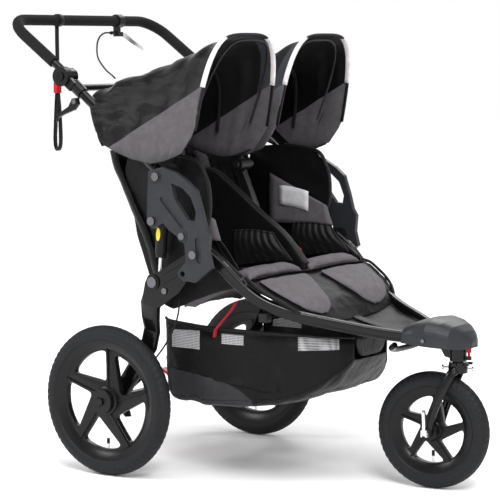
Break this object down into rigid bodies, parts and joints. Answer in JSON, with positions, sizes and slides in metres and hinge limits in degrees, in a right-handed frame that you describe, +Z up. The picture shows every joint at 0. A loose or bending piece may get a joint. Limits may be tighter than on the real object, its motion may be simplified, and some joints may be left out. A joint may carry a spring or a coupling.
{
  "type": "jogging stroller",
  "caption": "Side-by-side two-seat jogging stroller with three wheels, tilting canopies, rear suspension and a folding frame",
  "frame": {"origin": "on the ground under the middle of the stroller's length and width", "axes": "+X forward, +Y to the occupants' left, +Z up"},
  "size_m": [1.3155, 0.775, 1.22],
  "materials": {
    "frame_black": "satin black",
    "moulded_grey": "satin dark grey",
    "moulded_black": "satin black",
    "red_plastic": "gloss red",
    "bright_steel": "plated",
    "rubber": "matte black foam",
    "tyre": "matte black",
    "grey_cloth": "woven mid grey",
    "black_cloth": "coated black nylon",
    "red_webbing": "red webbing"
  },
  "bodies": {
    "main_frame": {"main_tube_right": "frame_black", "main_tube_left": "frame_black", "front_cross_tube": "frame_black", "seat_cross_tube": "frame_black", "nose_cover": "moulded_grey", "nose_screws": "bright_steel", "head_tube": "frame_black", "seat_base_right": "grey_cloth", "seat_base_left": "grey_cloth", "footwell": "black_cloth", "basket": "black_cloth", "grab_strap": "red_webbing"},
    "castings": {"casting_right": "moulded_grey", "casting_left": "moulded_grey", "frame_bolts": "bright_steel"},
    "push_frame": {"push_tube_right": "frame_black", "push_tube_left": "frame_black", "push_cross_tube": "frame_black", "handle_hubs": "moulded_grey", "push_frame_screws": "bright_steel", "canopy_brackets": "moulded_black"},
    "release_right": {"release_lever_right": "moulded_black"},
    "release_left": {"release_lever_left": "moulded_black"},
    "handlebar": {"handle_tube": "frame_black", "foam_grip": "rubber", "brake_bracket": "moulded_black", "wrist_strap": "black_cloth", "strap_clip": "red_plastic", "brake_cable_upper": "rubber"},
    "hand_brake": {"brake_lever": "bright_steel"},
    "canopy_right_body": {"canopy_right": "black_cloth", "canopy_bows_right": "bright_steel"},
    "canopy_left_body": {"canopy_left": "black_cloth", "canopy_bows_left": "bright_steel"},
    "swing_arm": {"swing_arm_right": "frame_black", "swing_arm_left": "frame_black", "rear_axle_tube": "frame_black", "suspension_pins": "bright_steel", "brake_callipers": "moulded_black", "brake_cable_lower": "rubber"},
    "shock_body_right_body": {"shock_body_right": "moulded_black"},
    "shock_body_left_body": {"shock_body_left": "moulded_black"},
    "shock_rod_right_body": {"shock_rod_right": "bright_steel"},
    "shock_rod_left_body": {"shock_rod_left": "bright_steel"},
    "rear_wheel_right": {"rear_rim_right": "moulded_black", "rear_tyre_right": "tyre", "rear_hub_right": "moulded_black"},
    "rear_wheel_left": {"rear_rim_left": "moulded_black", "rear_tyre_left": "tyre", "rear_hub_left": "moulded_black"},
    "steering": {"fork": "frame_black", "tracking_screws": "bright_steel", "front_axle": "bright_steel"},
    "front_wheel": {"front_rim": "moulded_black", "front_tyre": "tyre", "front_hub": "moulded_black"},
    "cam_lever": {"skewer_lever": "bright_steel"},
    "swivel_lock": {"swivel_lock_pin": "red_plastic"},
    "parking": {"parking_pedal": "red_plastic"},
    "seat_back_body": {"seat_backs": "black_cloth"}
  },
  "joints": [
    {"name": "frame_fold", "type": "hinge", "parent": "castings", "child": "push_frame", "pos_m": [-0.117, 0, 0.799], "axis": [0, 1, 0], "range_deg": [0, 190], "deforming": ["seat_base_right", "seat_base_left", "footwell", "basket", "grab_strap", "seat_backs", "canopy_right", "canopy_left", "brake_cable_upper", "brake_cable_lower", "wrist_strap", "strap_clip"]},
    {"name": "rear_fold", "type": "hinge", "parent": "main_frame", "child": "castings", "pos_m": [0, 0, 0.604], "axis": [0, -1, 0], "range_deg": [0, 70]},
    {"name": "seat_back_fold", "type": "hinge", "parent": "main_frame", "child": "seat_back_body", "pos_m": [-0.128, 0, 0.476], "axis": [0, 1, 0], "range_deg": [0, 95]},
    {"name": "handlebar_tilt", "type": "hinge", "parent": "push_frame", "child": "handlebar", "pos_m": [-0.434, 0, 1.051], "axis": [0, 1, 0], "range_deg": [-92, 0], "deforming": ["brake_cable_upper", "wrist_strap", "strap_clip"]},
    {"name": "hand_brake_squeeze", "type": "hinge", "parent": "handlebar", "child": "hand_brake", "pos_m": [-0.643, 0.169, 1.163], "axis": [1, 0, 0], "range_deg": [0, 14], "stiffness_Nm_per_rad": 0.8, "springref_deg": -5.73},
    {"name": "release_right_squeeze", "type": "hinge", "parent": "push_frame", "child": "release_right", "pos_m": [-0.388, -0.352, 0.986], "axis": [0, -1, 0], "range_deg": [0, 18], "stiffness_Nm_per_rad": 1, "springref_deg": -11.46},
    {"name": "release_left_squeeze", "type": "hinge", "parent": "push_frame", "child": "release_left", "pos_m": [-0.388, 0.352, 0.986], "axis": [0, -1, 0], "range_deg": [0, 18], "stiffness_Nm_per_rad": 1, "springref_deg": -11.46},
    {"name": "canopy_right_tilt", "type": "hinge", "parent": "push_frame", "child": "canopy_right_body", "pos_m": [-0.097, -0.168, 0.815], "axis": [0, -1, 0], "range_deg": [-25, 72], "deforming": ["canopy_right"]},
    {"name": "canopy_left_tilt", "type": "hinge", "parent": "push_frame", "child": "canopy_left_body", "pos_m": [-0.097, 0.168, 0.815], "axis": [0, -1, 0], "range_deg": [-25, 72], "deforming": ["canopy_left"]},
    {"name": "suspension_travel", "type": "hinge", "parent": "castings", "child": "swing_arm", "pos_m": [0, 0, 0.604], "axis": [0, 1, 0], "range_deg": [0, 8], "stiffness_Nm_per_rad": 300, "springref_deg": -8.59, "deforming": ["brake_cable_lower"]},
    {"name": "shock_right_tilt", "type": "hinge", "parent": "castings", "child": "shock_body_right_body", "pos_m": [-0.131, -0.318, 0.684], "axis": [0, 1, 0], "range_deg": [0, 4.5]},
    {"name": "shock_left_tilt", "type": "hinge", "parent": "castings", "child": "shock_body_left_body", "pos_m": [-0.131, 0.318, 0.684], "axis": [0, 1, 0], "range_deg": [0, 4.5]},
    {"name": "shock_right_stroke", "type": "slide", "parent": "shock_body_right_body", "child": "shock_rod_right_body", "axis": [0.0624, 0, 0.9981], "range_m": [0, 0.0194]},
    {"name": "shock_left_stroke", "type": "slide", "parent": "shock_body_left_body", "child": "shock_rod_left_body", "axis": [0.0624, 0, 0.9981], "range_m": [0, 0.0194]},
    {"name": "rear_wheel_right_spin", "type": "hinge", "parent": "swing_arm", "child": "rear_wheel_right", "pos_m": [-0.29, -0.349, 0.2], "axis": [0, 1, 0], "continuous": true},
    {"name": "rear_wheel_left_spin", "type": "hinge", "parent": "swing_arm", "child": "rear_wheel_left", "pos_m": [-0.29, 0.349, 0.2], "axis": [0, 1, 0], "continuous": true},
    {"name": "front_swivel", "type": "hinge", "parent": "main_frame", "child": "steering", "pos_m": [0.567, 0, 0.37], "axis": [0, 0, 1], "continuous": true},
    {"name": "front_wheel_spin", "type": "hinge", "parent": "steering", "child": "front_wheel", "pos_m": [0.50256, -0.00848, 0.152], "axis": [-0.1305, 0.9914, 0], "continuous": true},
    {"name": "cam_lever_open", "type": "hinge", "parent": "steering", "child": "cam_lever", "pos_m": [0.51091, -0.07194, 0.152], "axis": [0.9914, 0.1305, 0], "range_deg": [0, 120]},
    {"name": "swivel_lock_drop", "type": "slide", "parent": "main_frame", "child": "swivel_lock", "axis": [0, 0, -1], "range_m": [0, 0.008]},
    {"name": "parking_brake_press", "type": "hinge", "parent": "swing_arm", "child": "parking", "pos_m": [-0.29, 0, 0.2], "axis": [0, -1, 0], "range_deg": [0, 25]}
  ],
  "couplings": [
    {"joint": "rear_fold", "follows": "frame_fold", "ratio": 0.36842},
    {"joint": "seat_back_fold", "follows": "frame_fold", "ratio": 0.5},
    {"joint": "shock_right_tilt", "follows": "suspension_travel", "ratio": 0.561},
    {"joint": "shock_left_tilt", "follows": "suspension_travel", "ratio": 0.561},
    {"joint": "shock_right_stroke", "follows": "suspension_travel", "m_per_rad": 0.1383},
    {"joint": "shock_left_stroke", "follows": "suspension_travel", "m_per_rad": 0.1383}
  ]
}
